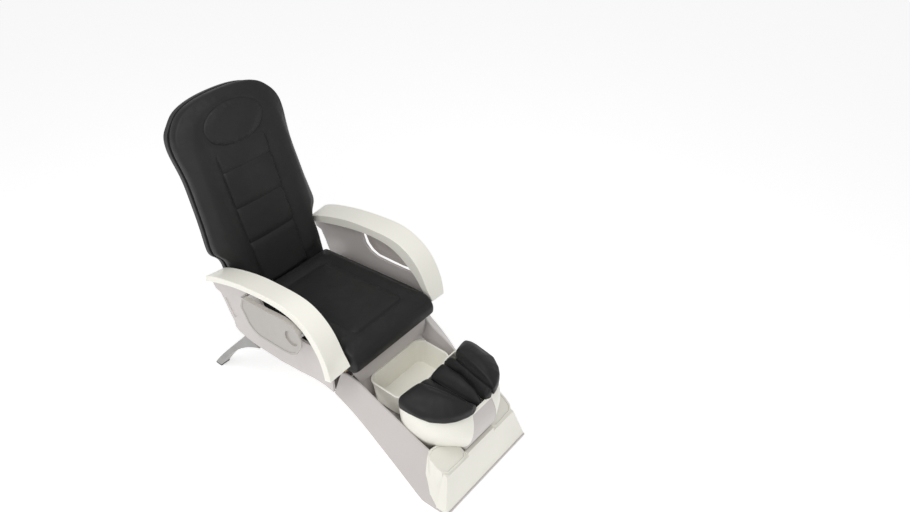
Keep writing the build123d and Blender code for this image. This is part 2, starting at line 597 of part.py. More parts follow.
PAN_SPAN = (-158.0, 421.0)
with BuildPart() as seat_pan:
    spot = (0, sum(PAN_SPAN) / 2 * LENGTH_FACTOR)
    extrude(block(plan(PAN_TOP), spot, 2 * (SEAT_HALF - 8) * WIDTH_FACTOR,
                  (PAN_SPAN[1] - PAN_SPAN[0]) * LENGTH_FACTOR), amount=FIT / 2 - PAN_THICK)
save(seat_pan, "seat_pan")

with BuildPart() as seat_cushion:
    extrude(polygon(side(-SEAT_HALF), long(SEAT_EDGE)), amount=2 * SEAT_HALF * WIDTH_FACTOR)
    fillet(seat_cushion.edges().filter_by(GeomType.LINE), SEAT_ROUND)
save(seat_cushion, "seat_cushion")

SLIDE_BODY = (150.0, 360.0)
SLIDE_R = 10.5
ROD_R = 5.5
with BuildPart() as slide_actuator:
    extrude(disc(facing(SLIDE_BODY[0]), (0, ROD_Z), SLIDE_R),
            amount=(SLIDE_BODY[0] - SLIDE_BODY[1]) * LENGTH_FACTOR)
    extrude(disc(facing(SLIDE_BODY[0] - 1), (0, ROD_Z), ROD_R + HINGE_PLAY),
            amount=(SLIDE_BODY[0] - SLIDE_BODY[1] + 20) * LENGTH_FACTOR, mode=Mode.SUBTRACT)
save(slide_actuator, "slide_actuator")

with BuildPart() as slide_rod:
    extrude(disc(facing(-138.0 + FIT), (0, ROD_Z), ROD_R), amount=-(SLIDE_BODY[0] + 150.0) * LENGTH_FACTOR)
save(slide_rod, "slide_rod")

with BuildPart() as hinge_pins:
    for _, sign in SIDES:
        pin = disc(side(sign * (LUG_IN + FIT)), (HINGE_Y * LENGTH_FACTOR, HINGE_Z), HINGE_PIN_R)
        extrude(pin, amount=sign * (LUG_OUT + LUG_WIDE - LUG_IN))
save(hinge_pins, "hinge_pins")

MOTOR_LONG = 74.0
with BuildPart() as recline_motors:
    for _, sign in SIDES:
        motor = disc(side(sign * (LUG_IN - FIT)), (HINGE_Y * LENGTH_FACTOR, HINGE_Z), MOTOR_R - 2)
        extrude(motor, amount=-sign * MOTOR_LONG)
save(recline_motors, "recline_motors")

# ------------------------------------------------------------------ back rest
def back_side(x):
    """Side plane of the back: local coordinates are distance forward and height up the back."""
    base = back_plane(0)
    return Plane(origin=base.origin + Vector(x * WIDTH_FACTOR, 0, 0), x_dir=base.z_dir, z_dir=(-1, 0, 0))


pivot = back_side(0).to_local_coords(Vector(0, DATUM_Y + HINGE_Y * LENGTH_FACTOR, HINGE_Z))
BAR_FRONT = -BACK_FOAM - FIT
arm_shape = [(pivot.X + 10, pivot.Y + 15), (-62, -2), (BAR_FRONT, 5), (BAR_FRONT - BAR_DEEP, 5),
             (BAR_FRONT - BAR_DEEP, -20), (pivot.X - 10, pivot.Y - 15)]
with BuildPart() as back_frame:
    for _, sign in SIDES:
        for shape in (polygon(back_side(sign * ARM_X), arm_shape),
                      disc(back_side(sign * ARM_X), (pivot.X, pivot.Y), HINGE_R),
                      block(back_side(sign * ARM_X), (BAR_FRONT - BAR_DEEP / 2, BAR_TOP / 2), BAR_DEEP,
                            BAR_TOP)):
            extrude(shape, amount=BAR_WIDE / 2, both=True)
    for bar_h in CROSS_BARS:
        extrude(block(back_plane(BAR_FRONT), (0, bar_h), 2 * ARM_X * WIDTH_FACTOR, 2 * BAR_WIDE),
                amount=-BAR_DEEP)
    extrude(disc(back_side(0), (pivot.X, pivot.Y), HINGE_PIN_R + HINGE_PLAY),
            amount=SEAT_HALF * WIDTH_FACTOR, both=True, mode=Mode.SUBTRACT)
save(back_frame, "back_frame")

with BuildPart() as back_shell:
    extrude(back_outline(-BACK_FOAM - FIT, 6), amount=-BACK_SHELL)
    fillet(back_shell.faces().sort_by(SortBy.AREA)[-2:].edges(), 3)
    for _, sign in SIDES:
        slot = block(back_side(sign * ARM_X), (BAR_FRONT - BAR_DEEP / 2, BAR_TOP / 2 - 20),
                     BAR_DEEP + 2 * FIT, BAR_TOP + 42)
        extrude(slot, amount=BAR_WIDE / 2 + FIT, both=True, mode=Mode.SUBTRACT)
    for bar_h in CROSS_BARS:
        extrude(block(back_plane(BAR_FRONT + 1), (0, bar_h), 2 * ARM_X * WIDTH_FACTOR, 2 * BAR_WIDE + 1),
                amount=-BAR_DEEP - 1 - FIT, mode=Mode.SUBTRACT)
save(back_shell, "back_shell")

centre_shape = [(-CENTRE_HALF, CENTRE_LOW), (CENTRE_HALF, CENTRE_LOW), (CENTRE_HALF + 8, CENTRE_HIGH),
                (-CENTRE_HALF - 8, CENTRE_HIGH)]
with BuildPart() as back_cushion:
    extrude(back_outline(0, 0), amount=-BACK_FOAM)
    fillet(back_cushion.edges().group_by(SortBy.LENGTH)[-1], BACK_ROUND)
    extrude(polygon(back_plane(1), wide(centre_shape), CENTRE_CORNER), amount=-CENTRE_SINK - 1,
            mode=Mode.SUBTRACT)
    with BuildSketch(back_plane(1)):
        with Locations((0, PILLOW_H)):
            Ellipse(PILLOW_HALF, PILLOW_TALL)
    extrude(amount=-PILLOW_SINK - 1, mode=Mode.SUBTRACT)
save(back_cushion, "back_cushion")

with BuildPart() as back_centre:
    extrude(polygon(back_plane(CENTRE_PROUD), wide(centre_shape), CENTRE_CORNER, FIT),
            amount=-CENTRE_SINK - CENTRE_PROUD + FIT)
save(back_centre, "back_centre_panel")

with BuildPart() as head_pillow:
    with BuildSketch(back_plane(PILLOW_THICK)):
        with Locations((0, PILLOW_H)):
            Ellipse(PILLOW_HALF - FIT, PILLOW_TALL - FIT)
    extrude(amount=-PILLOW_THICK - PILLOW_SINK + FIT)
    fillet(head_pillow.faces().sort_by(Axis.Y)[0].edges(), PILLOW_ROUND)
save(head_pillow, "head_pillow")

# ------------------------------------------------------------------ armrests and trays
for name, sign in SIDES:
    with BuildPart() as arm_panel:
        extrude(polygon(side(sign * PANEL_IN), long(PANEL_EDGE)),
                amount=sign * (PANEL_OUT - PANEL_IN) * WIDTH_FACTOR)
        extrude(polygon(side(sign * PANEL_OUT), long(PANEL_RECESS)), amount=-sign * RECESS_DEEP,
                mode=Mode.SUBTRACT)
    save(arm_panel, f"arm_panel_{name}")

    with BuildPart() as arm_band:
        inner = between(side(sign * BAND_IN), long(BAND_TOP_INNER), long(BAND_LOW_INNER))
        outer = between(side(sign * BAND_OUT), long(BAND_TOP_OUTER), long(BAND_LOW_OUTER))
        loft(sections=[inner, outer], ruled=True)
    save(arm_band, f"arm_band_{name}")

    with BuildPart() as tray:
        edge = long(TRAY_EDGE)
        extrude(polygon(side(sign * TRAY_IN), edge, TRAY_CORNER),
                amount=sign * (TRAY_OUT - TRAY_IN) * WIDTH_FACTOR)
        extrude(polygon(side(sign * TRAY_IN), long(TRAY_HOLLOW)),
                amount=sign * (TRAY_OUT - TRAY_PLATE - TRAY_IN) * WIDTH_FACTOR, mode=Mode.SUBTRACT)
        dish = (DISH_Y * LENGTH_FACTOR, DISH_Z)
        extrude(disc(side(sign * (TRAY_OUT - TRAY_SINK - 1)), dish, DISH_R + DISH_WALL),
                amount=-sign * (DISH_DEEP + DISH_WALL - TRAY_SINK - 1))
        extrude(polygon(side(sign * TRAY_OUT), edge, TRAY_CORNER, TRAY_RIM), amount=-sign * TRAY_SINK,
                mode=Mode.SUBTRACT)
        extrude(disc(side(sign * TRAY_OUT), dish, DISH_R), amount=-sign * DISH_DEEP, mode=Mode.SUBTRACT)
        for far, near, tip in TRAY_LUGS:
            centre = (sign * TRAY_AXIS_X * WIDTH_FACTOR, TRAY_AXIS_Z)
            extrude(disc(facing(far), centre, TRAY_PIN_R + TRAY_PIN_PLAY),
                    amount=(far - tip) * LENGTH_FACTOR * BORE_REACH, mode=Mode.SUBTRACT)
    save(tray, f"tray_{name}")

    with BuildPart() as tray_hinge:
        for index, (far, near, tip) in enumerate(TRAY_LUGS):
            centre = (sign * TRAY_AXIS_X * WIDTH_FACTOR, TRAY_AXIS_Z)
            extrude(disc(facing(far), centre, TRAY_LUG_HALF), amount=(far - near) * LENGTH_FACTOR)
            extrude(disc(facing(far), centre, TRAY_PIN_R), amount=(far - tip) * LENGTH_FACTOR)
            root = TRAY_LUG_IN[index]
            arm_centre = (sign * (root + TRAY_AXIS_X) / 2 * WIDTH_FACTOR, TRAY_AXIS_Z)
            extrude(block(facing(far), arm_centre, (TRAY_AXIS_X - root) * WIDTH_FACTOR, 2 * TRAY_LUG_HALF),
                    amount=(far - near) * LENGTH_FACTOR)
    save(tray_hinge, f"tray_hinge_{name}")

# ------------------------------------------------------------------ power inlet
INLET = (48.0, 28.0, 24.0)
with BuildPart() as power_inlet:
    extrude(block(facing(438.0), (0, 412.0), INLET[0], INLET[1]), amount=INLET[2])
save(power_inlet, "power_inlet")
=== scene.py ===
"""Looks of the pedicure spa chair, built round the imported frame.  Metres, +Z up, the sitter faces -Y."""
import json
import math

import bmesh
import bpy
import numpy as np
from mathutils import Matrix, Vector


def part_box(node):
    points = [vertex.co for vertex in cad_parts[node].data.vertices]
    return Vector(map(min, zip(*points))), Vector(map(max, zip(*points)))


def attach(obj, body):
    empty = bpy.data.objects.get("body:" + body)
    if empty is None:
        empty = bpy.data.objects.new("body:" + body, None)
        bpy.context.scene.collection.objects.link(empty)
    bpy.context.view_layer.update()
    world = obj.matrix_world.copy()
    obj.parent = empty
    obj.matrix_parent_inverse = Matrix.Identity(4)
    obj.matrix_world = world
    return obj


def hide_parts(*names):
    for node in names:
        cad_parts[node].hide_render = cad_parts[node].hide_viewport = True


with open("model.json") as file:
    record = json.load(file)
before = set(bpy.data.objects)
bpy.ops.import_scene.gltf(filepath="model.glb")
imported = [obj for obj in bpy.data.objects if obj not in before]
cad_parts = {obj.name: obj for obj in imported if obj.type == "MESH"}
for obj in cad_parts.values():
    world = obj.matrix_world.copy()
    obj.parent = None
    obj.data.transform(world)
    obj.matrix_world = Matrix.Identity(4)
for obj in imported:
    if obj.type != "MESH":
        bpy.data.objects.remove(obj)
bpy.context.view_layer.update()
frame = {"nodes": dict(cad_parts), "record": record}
NODES = frame["nodes"]

# ------------------------------------------------------------------ camera and light
CAMERA_AT = (-1.8197, -2.0395, 2.870)
CAMERA_RIGHT = Vector((0.6250, -0.7806, 0.0))
CAMERA_FORWARD = Vector((0.6215, 0.4976, -0.6050))
LENS_MM = 32.123
SENSOR_MM = 36.0
FLOOR_SIZE = 40.0


def make_camera():
    """The view of the reference picture."""
    data = bpy.data.cameras.new("camera")
    camera = bpy.data.objects.new("camera", data)
    bpy.context.scene.collection.objects.link(camera)
    forward = CAMERA_FORWARD.normalized()
    right = CAMERA_RIGHT.normalized()
    up = right.cross(forward).normalized()
    rotation = Matrix((right, up, -forward)).transposed()
    camera.matrix_world = Matrix.Translation(CAMERA_AT) @ rotation.to_4x4()
    data.lens = LENS_MM
    data.sensor_width = SENSOR_MM
    data.clip_start = 0.05
    data.clip_end = 100.0
    bpy.context.scene.camera = camera
    bpy.context.scene.view_settings.view_transform = "Standard"


def area_light(name, at, aim, size, watts, colour=(1.0, 1.0, 1.0)):
    """A soft square light that points at aim."""
    data = bpy.data.lights.new(name, "AREA")
    data.size = size
    data.energy = watts
    data.color = colour
    lamp = bpy.data.objects.new(name, data)
    bpy.context.scene.collection.objects.link(lamp)
    lamp.location = at
    lamp.rotation_mode = "QUATERNION"
    lamp.rotation_quaternion = (Vector(aim) - Vector(at)).to_track_quat("-Z", "Y")


def make_stage():
    """White floor and world, a key light low in front, and weaker lights above and beside the seat."""
    mesh = bpy.data.meshes.new("floor")
    half = FLOOR_SIZE / 2
    corners = [(-half, -half, 0), (half, -half, 0), (half, half, 0), (-half, half, 0)]
    mesh.from_pydata(corners, [], [(0, 1, 2, 3)])
    floor = bpy.data.objects.new("floor", mesh)
    bpy.context.scene.collection.objects.link(floor)
    floor.data.materials.append(glowing_floor("floor_white", (0.86, 0.86, 0.86), 0.50))
    world = bpy.data.worlds.new("studio")
    bpy.context.scene.world = world
    world.use_nodes = True
    world.node_tree.nodes["Background"].inputs["Color"].default_value = (1.0, 1.0, 1.0, 1.0)
    world.node_tree.nodes["Background"].inputs["Strength"].default_value = 0.49
    area_light("key", (-2.75, -2.35, 2.25), (0.0, -0.1, 0.5), 2.0, 18.0)
    area_light("fill", (-3.2, 0.3, 3.0), (0.1, -0.2, 0.5), 2.2, 9.0)
    area_light("top", (-0.5, -0.6, 3.4), (0.0, -0.3, 0.4), 1.8, 22.0)
    area_light("inner", (-1.0, 0.0, 2.1), (0.3, 0.1, 0.6), 0.8, 7.0)


# ------------------------------------------------------------------ materials
def new_material(name, roughness, metallic=0.0, specular=0.5):
    """An empty principled material; returns it with its nodes, links and shader."""
    material = bpy.data.materials.new(name)
    material.use_nodes = True
    tree = material.node_tree
    shader = tree.nodes["Principled BSDF"]
    shader.inputs["Roughness"].default_value = roughness
    shader.inputs["Metallic"].default_value = metallic
    shader.inputs["Specular IOR Level"].default_value = specular
    return material, tree, shader


def glowing_floor(name, colour, glow):
    """A plain pale floor with a little light of its own, so that it stays white under soft light."""
    material, _, shader = new_material(name, 0.95, specular=0.0)
    shader.inputs["Base Color"].default_value = (*colour, 1.0)
    shader.inputs["Emission Color"].default_value = (1.0, 1.0, 1.0, 1.0)
    shader.inputs["Emission Strength"].default_value = glow
    return material


def object_coordinates(tree):
    """Object coordinates, the same as the row frame for every piece."""
    return tree.nodes.new("ShaderNodeTexCoord").outputs["Object"]


def noise(tree, scale, detail=3.0, roughness=0.5):
    """A noise texture in object space."""
    node = tree.nodes.new("ShaderNodeTexNoise")
    node.inputs["Scale"].default_value = scale
    node.inputs["Detail"].default_value = detail
    node.inputs["Roughness"].default_value = roughness
    tree.links.new(object_coordinates(tree), node.inputs["Vector"])
    return node.outputs["Fac"]


def ramp(tree, value, low, high, start=0.0, end=1.0):
    """A two-colour ramp over value."""
    node = tree.nodes.new("ShaderNodeValToRGB")
    node.color_ramp.elements[0].position = start
    node.color_ramp.elements[0].color = (*low, 1.0)
    node.color_ramp.elements[1].position = end
    node.color_ramp.elements[1].color = (*high, 1.0)
    tree.links.new(value, node.inputs["Fac"])
    return node.outputs["Color"]


def bump(tree, shader, height, strength, distance, before=None):
    """Adds a bump to the shader and returns its normal."""
    node = tree.nodes.new("ShaderNodeBump")
    node.inputs["Strength"].default_value = strength
    node.inputs["Distance"].default_value = distance
    tree.links.new(height, node.inputs["Height"])
    if before is not None:
        tree.links.new(before, node.inputs["Normal"])
    tree.links.new(node.outputs["Normal"], shader.inputs["Normal"])
    return node.outputs["Normal"]


def shade(colour, factor):
    """The colour made lighter or darker."""
    return tuple(min(1.0, channel * factor) for channel in colour)


def moulded_plastic(name, colour, roughness, coat=0.25):
    """Moulded shell: slight colour drift, faint orange peel and a clear top layer."""
    material, tree, shader = new_material(name, roughness)
    drift = noise(tree, 2.6, 2.0)
    tint = ramp(tree, drift, shade(colour, 0.965), shade(colour, 1.03), 0.3, 0.7)
    tree.links.new(tint, shader.inputs["Base Color"])
    worn = noise(tree, 38.0, 4.0, 0.6)
    rough = ramp(tree, worn, (roughness - 0.05,) * 3, (roughness + 0.07,) * 3, 0.35, 0.65)
    tree.links.new(rough, shader.inputs["Roughness"])
    shader.inputs["Coat Weight"].default_value = coat
    shader.inputs["Coat Roughness"].default_value = 0.18
    peel = bump(tree, shader, noise(tree, 210.0, 2.0), 0.05, 0.0006)
    bump(tree, shader, noise(tree, 7.0, 1.0), 0.03, 0.004, peel)
    return material


def upholstery(name, colour, roughness=0.5):
    """Matt coated cloth: fine pebble grain in two sizes, with slightly paler high spots."""
    material, tree, shader = new_material(name, roughness, specular=0.24)
    cells = tree.nodes.new("ShaderNodeTexVoronoi")
    cells.feature = "DISTANCE_TO_EDGE"
    cells.inputs["Scale"].default_value = 420.0
    warp = tree.nodes.new("ShaderNodeMixRGB")
    warp.blend_type = "ADD"
    warp.inputs["Fac"].default_value = 0.006
    tree.links.new(object_coordinates(tree), warp.inputs["Color1"])
    wobble = tree.nodes.new("ShaderNodeTexNoise")
    wobble.inputs["Scale"].default_value = 60.0
    tree.links.new(object_coordinates(tree), wobble.inputs["Vector"])
    tree.links.new(wobble.outputs["Color"], warp.inputs["Color2"])
    tree.links.new(warp.outputs["Color"], cells.inputs["Vector"])
    grain = bump(tree, shader, cells.outputs["Distance"], 0.35, 0.0007)
    bump(tree, shader, noise(tree, 26.0, 3.0), 0.12, 0.0025, grain)
    drift = noise(tree, 5.0, 4.0, 0.6)
    tint = ramp(tree, drift, shade(colour, 0.86), shade(colour, 1.16), 0.3, 0.7)
    tree.links.new(tint, shader.inputs["Base Color"])
    worn = noise(tree, 14.0, 4.0, 0.6)
    rough = ramp(tree, worn, (roughness - 0.05,) * 3, (roughness + 0.09,) * 3, 0.35, 0.65)
    tree.links.new(rough, shader.inputs["Roughness"])
    shader.inputs["Sheen Weight"].default_value = 0.03
    shader.inputs["Sheen Roughness"].default_value = 0.45
    return material


def brushed_metal(name, colour, roughness):
    """Metal with fine streaks along Y."""
    material, tree, shader = new_material(name, roughness, metallic=1.0)
    stretch = tree.nodes.new("ShaderNodeMapping")
    stretch.inputs["Scale"].default_value = (900.0, 12.0, 900.0)
    tree.links.new(object_coordinates(tree), stretch.inputs["Vector"])
    streak = tree.nodes.new("ShaderNodeTexNoise")
    streak.inputs["Scale"].default_value = 1.0
    tree.links.new(stretch.outputs["Vector"], streak.inputs["Vector"])
    tree.links.new(ramp(tree, streak.outputs["Fac"], shade(colour, 0.8), shade(colour, 1.1), 0.3, 0.7),
                   shader.inputs["Base Color"])
    bump(tree, shader, streak.outputs["Fac"], 0.08, 0.0003)
    return material


def painted_metal(name, colour, roughness):
    """Powder-coated steel."""
    material, tree, shader = new_material(name, roughness)
    drift = noise(tree, 9.0, 4.0)
    tint = ramp(tree, drift, shade(colour, 0.9), shade(colour, 1.1), 0.3, 0.7)
    tree.links.new(tint, shader.inputs["Base Color"])
    bump(tree, shader, noise(tree, 520.0, 2.0), 0.12, 0.0004)
    return material


def plywood(name):
    """Birch plywood with stretched grain."""
    material, tree, shader = new_material(name, 0.65)
    stretch = tree.nodes.new("ShaderNodeMapping")
    stretch.inputs["Scale"].default_value = (40.0, 3.0, 160.0)
    tree.links.new(object_coordinates(tree), stretch.inputs["Vector"])
    grain = tree.nodes.new("ShaderNodeTexNoise")
    grain.inputs["Scale"].default_value = 1.0
    grain.inputs["Detail"].default_value = 5.0
    tree.links.new(stretch.outputs["Vector"], grain.inputs["Vector"])
    tree.links.new(ramp(tree, grain.outputs["Fac"], (0.42, 0.29, 0.17), (0.68, 0.52, 0.35), 0.3, 0.7),
                   shader.inputs["Base Color"])
    bump(tree, shader, grain.outputs["Fac"], 0.15, 0.0006)
    return material


GREY = (0.585, 0.548, 0.532)
IVORY = (0.885, 0.870, 0.790)
TRAY_GREY = (0.430, 0.404, 0.376)
LEG_GREY = (0.33, 0.326, 0.315)
BLACK = (0.0165, 0.0165, 0.0165)

MATERIALS = {
    "body_grey": moulded_plastic("body_grey", GREY, 0.42),
    "ivory": moulded_plastic("ivory", IVORY, 0.36),
    "tray_grey": moulded_plastic("tray_grey", TRAY_GREY, 0.45),
    "leg_grey": painted_metal("leg_grey", LEG_GREY, 0.45),
    "upholstery": upholstery("upholstery", BLACK),
    "black_plastic": painted_metal("black_plastic", (0.02, 0.02, 0.021), 0.5),
    "foot_rubber": painted_metal("foot_rubber", (0.03, 0.03, 0.03), 0.8),
    "frame_steel": painted_metal("frame_steel", (0.045, 0.045, 0.05), 0.4),
    "bright_steel": brushed_metal("bright_steel", (0.60, 0.60, 0.61), 0.32),
    "bright_trim": brushed_metal("bright_trim", (0.78, 0.78, 0.79), 0.12),
    "plywood": plywood("plywood"),
}


# ------------------------------------------------------------------ rigid pieces
EDGE_WIDTH = {"default": 0.0009, "arm_band": 0.0030, "front_panel": 0.0022, "foot_basin": 0.0014,
              "base_shell": 0.0016,
              "arm_panel": 0.0016, "tray_r": 0.0010, "tray_l": 0.0010, "corner_cap": 0.0008, "leg_l": 0.002,
              "leg_r": 0.002, "back_shell": 0.004}
SHARP_ANGLE = math.radians(32)


def soften(node, width):
    """Small rounded edges and smooth shading, by modifiers alone."""
    mesh = node.data
    if "custom_normal" in mesh.attributes:
        mesh.attributes.remove(mesh.attributes["custom_normal"])
    mesh.shade_smooth()
    weld = node.modifiers.new("weld", "WELD")
    weld.merge_threshold = 0.00002
    flat = node.modifiers.new("flat", "DECIMATE")
    flat.decimate_type = "DISSOLVE"
    flat.angle_limit = math.radians(0.4)
    bevel = node.modifiers.new("edge", "BEVEL")
    bevel.width = width
    bevel.segments = 3
    bevel.limit_method = "ANGLE"
    bevel.angle_limit = SHARP_ANGLE
    normals = node.modifiers.new("normals", "WEIGHTED_NORMAL")
    normals.keep_sharp = True
    normals.weight = 80


def dress_nodes():
    """Gives every CAD node its material, softened edges and smooth shading."""
    slots = {row["node"]: row["material_slot"] for row in frame["record"]["subparts"]}
    for name, node in NODES.items():
        node.data.materials.clear()
        node.data.materials.append(MATERIALS[slots[name]])
        width = next((w for start, w in EDGE_WIDTH.items() if name.startswith(start)), EDGE_WIDTH["default"])
        soften(node, width)


# ------------------------------------------------------------------ soft pieces
SIM_FRAMES = 16
PULL_IN = 0.0015
SEAT_REACH_BACK = 0.016       # foam drawn back to meet the back rest
BACK_REACH_DOWN = 0.022       # foam drawn down to meet the seat
PANEL_REACH_UP = 0.040        # the centre panel runs up under the pillow
PANEL_WIDER = 1.035


def mesh_of(obj):
    """The mesh of obj with its modifiers, as new data."""
    graph = bpy.context.evaluated_depsgraph_get()
    return bpy.data.meshes.new_from_object(obj.evaluated_get(graph), depsgraph=graph)


def bake(obj):
    """Applies every modifier of obj."""
    made = mesh_of(obj)
    old = obj.data
    obj.modifiers.clear()
    obj.data = made
    bpy.data.meshes.remove(old)


def points_of(mesh):
    """Vertex positions as an array."""
    flat = np.empty(len(mesh.vertices) * 3)
    mesh.vertices.foreach_get("co", flat)
    return flat.reshape(-1, 3)


def normals_of(mesh):
    """Vertex normals as an array."""
    flat = np.empty(len(mesh.vertices) * 3, np.float32)
    mesh.vertices.foreach_get("normal", flat)
    return flat.reshape(-1, 3).astype(float)


def set_points(mesh, points):
    """Writes vertex positions back."""
    mesh.vertices.foreach_set("co", points.astype(np.float32).ravel())
    mesh.update()


def relax(mesh, rounds, share=0.5):
    """Laplacian smoothing, which takes out the voxel steps."""
    count = len(mesh.vertices)
    ends = np.empty(len(mesh.edges) * 2, np.int32)
    mesh.edges.foreach_get("vertices", ends)
    ends = ends.reshape(-1, 2)
    valence = np.bincount(ends.ravel(), minlength=count)[:, None]
    points = points_of(mesh)
    for _ in range(rounds):
        total = np.zeros_like(points)
        for axis in range(3):
            total[:, axis] = (np.bincount(ends[:, 0], points[ends[:, 1], axis], count)
                              + np.bincount(ends[:, 1], points[ends[:, 0], axis], count))
        points = points * (1 - share) + share * total / valence
    set_points(mesh, points)


def cushion_start(name, nodes, voxel, shrink, rounds):
    """A new closed mesh from CAD solids: remeshed, rounded by smoothing and drawn in a little."""
    made = bmesh.new()
    for node in nodes:
        made.from_mesh(NODES[node].data)
    bmesh.ops.remove_doubles(made, verts=made.verts, dist=0.00002)
    mesh = bpy.data.meshes.new(name)
    made.to_mesh(mesh)
    made.free()
    piece = bpy.data.objects.new(name, mesh)
    bpy.context.scene.collection.objects.link(piece)
    voxels = piece.modifiers.new("voxels", "REMESH")
    voxels.mode = "VOXEL"
    voxels.voxel_size = voxel
    bake(piece)
    relax(piece.data, rounds)
    set_points(piece.data, points_of(piece.data) - normals_of(piece.data) * shrink)
    return piece


def inflate(piece, cap, pressure=4.0):
    """Cloth under pressure, no gravity; each point moves along its normal, up to cap out and PULL_IN in."""
    start, out = points_of(piece.data), normals_of(piece.data)
    cloth = piece.modifiers.new("cloth", "CLOTH")
    cloth.settings.use_pressure = True
    cloth.settings.uniform_pressure_force = pressure
    cloth.settings.quality = 4
    cloth.settings.tension_stiffness = 18
    cloth.settings.compression_stiffness = 18
    cloth.settings.bending_stiffness = 1.5
    cloth.settings.effector_weights.gravity = 0.0
    cloth.collision_settings.use_collision = False
    cloth.point_cache.frame_start = 1
    cloth.point_cache.frame_end = SIM_FRAMES
    scene = bpy.context.scene
    for frame_number in range(1, SIM_FRAMES + 1):
        scene.frame_set(frame_number)
    bake(piece)
    scene.frame_set(1)
    moved = np.sum((points_of(piece.data) - start) * out, axis=1, keepdims=True)
    set_points(piece.data, start + out * np.clip(moved, -PULL_IN, cap))
    relax(piece.data, 2)


def refine(piece, rounds=2):
    """One subdivision and a light smoothing."""
    relax(piece.data, rounds)
    fine = piece.modifiers.new("fine", "SUBSURF")
    fine.levels = 1
    bake(piece)
    piece.data.shade_smooth()


def finish_cushion(piece, body, nodes, material="upholstery"):
    """Material, body and slot of a soft piece."""
    piece.data.materials.clear()
    piece.data.materials.append(MATERIALS[material])
    piece.data.shade_smooth()
    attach(piece, body)
    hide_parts(*nodes)


def bell(distance, width):
    """A smooth bump of height 1 at zero distance."""
    return np.exp(-(distance / width) ** 2)


def step(value, start, end):
    """Smooth step from 0 at start to 1 at end."""
    share = np.clip((value - start) / (end - start), 0, 1)
    return share * share * (3 - 2 * share)


def groove(distance, valley, depth, seam_depth):
    """Depth of a sewn channel: a soft valley with a narrow seam in it."""
    return depth * bell(distance, valley) + seam_depth * bell(distance, 0.0032)


SEAT_LOW, SEAT_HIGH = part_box("seat_cushion")
PANEL_HALF = 0.150
SEAT_FRONT_SEAM = SEAT_LOW.y + 0.105
SEAT_REAR_SEAM = SEAT_HIGH.y - 0.092
CORNER = 0.035


def box_distance(u, v, half_u, low_v, high_v, corner):
    """Signed distance from a rounded rectangle, below zero inside."""
    middle, half_v = (low_v + high_v) / 2, (high_v - low_v) / 2
    du = np.abs(u) - (half_u - corner)
    dv = np.abs(v - middle) - (half_v - corner)
    outside = np.hypot(np.maximum(du, 0), np.maximum(dv, 0))
    return outside + np.minimum(np.maximum(du, dv), 0) - corner


def make_seat():
    """Seat cushion: a crowned centre panel in a sewn channel, low side bolsters and a rolled front."""
    piece = cushion_start("seat_upholstery", ["seat_cushion"], 0.0055, 0.004, 10)
    inflate(piece, 0.016)
    refine(piece)
    points, normals = points_of(piece.data), normals_of(piece.data)
    top = step(normals[:, 2], 0.2, 0.7)
    x, y = points[:, 0], points[:, 1]
    ring = box_distance(x, y, PANEL_HALF, SEAT_FRONT_SEAM, SEAT_REAR_SEAM, CORNER)
    sink = groove(ring, 0.020, 0.0065, 0.0022)
    cross = groove(y - SEAT_FRONT_SEAM, 0.022, 0.0055, 0.0) * (ring > 0)
    crown = 0.004 * step(-ring, 0.0, 0.10)
    points[:, 2] += top * (crown - sink - cross)
    points[:, 1] += SEAT_REACH_BACK * step(y, SEAT_HIGH.y - 0.06, SEAT_HIGH.y - 0.01)
    points[:, 2] = np.maximum(points[:, 2], SEAT_LOW.z)
    set_points(piece.data, points)
    finish_cushion(piece, "seat", ["seat_cushion"])


BACK_TILT = math.radians(16.7)
BACK_UP = np.array((0.0, math.sin(BACK_TILT), math.cos(BACK_TILT)))
BACK_OUT = np.array((0.0, -math.cos(BACK_TILT), math.sin(BACK_TILT)))


def back_foot():
    """Lowest point of the back's front plane, found from the centre panel's box."""
    points = points_of(NODES["back_centre_panel"].data)
    out, up = points @ BACK_OUT, points @ BACK_UP
    return BACK_OUT * (out.max() - 0.003) + BACK_UP * (up.min() - 0.0265)


BACK_FOOT = back_foot()
CROSS_SEAMS = (0.242, 0.410, 0.578)
PILLOW_UP = 0.767
PILLOW_WIDE, PILLOW_TALL = 0.157, 0.096


def back_coordinates(points):
    """Sideways, up the back, and forward of its front plane."""
    local = points - BACK_FOOT
    return points[:, 0], local @ BACK_UP, local @ BACK_OUT


def make_back():
    """Back cushion: raised side bolsters that roll over the edge and fall to the centre panel."""
    piece = cushion_start("back_upholstery", ["back_cushion"], 0.006, 0.004, 14)
    inflate(piece, 0.018)
    refine(piece)
    points, normals = points_of(piece.data), normals_of(piece.data)
    x, up, out = back_coordinates(points)
    front = step(normals @ BACK_OUT, 0.1, 0.6)
    pillow = np.hypot(x / PILLOW_WIDE, (up - PILLOW_UP) / PILLOW_TALL) - 1
    side = np.abs(x) - 0.132
    raised = 0.012 * bell(side - 0.065, 0.045) * step(up, 0.02, 0.12) * (1 - step(up, 0.62, 0.86))
    valley = 0.010 * bell(side, 0.030) * (1 - step(up, 0.60, 0.80))
    points += BACK_OUT * (front * (raised - valley))[:, None]
    points -= BACK_UP * (BACK_REACH_DOWN * (1 - step(up, 0.012, 0.06)))[:, None]
    set_points(piece.data, points)
    finish_cushion(piece, "back", ["back_cushion"])


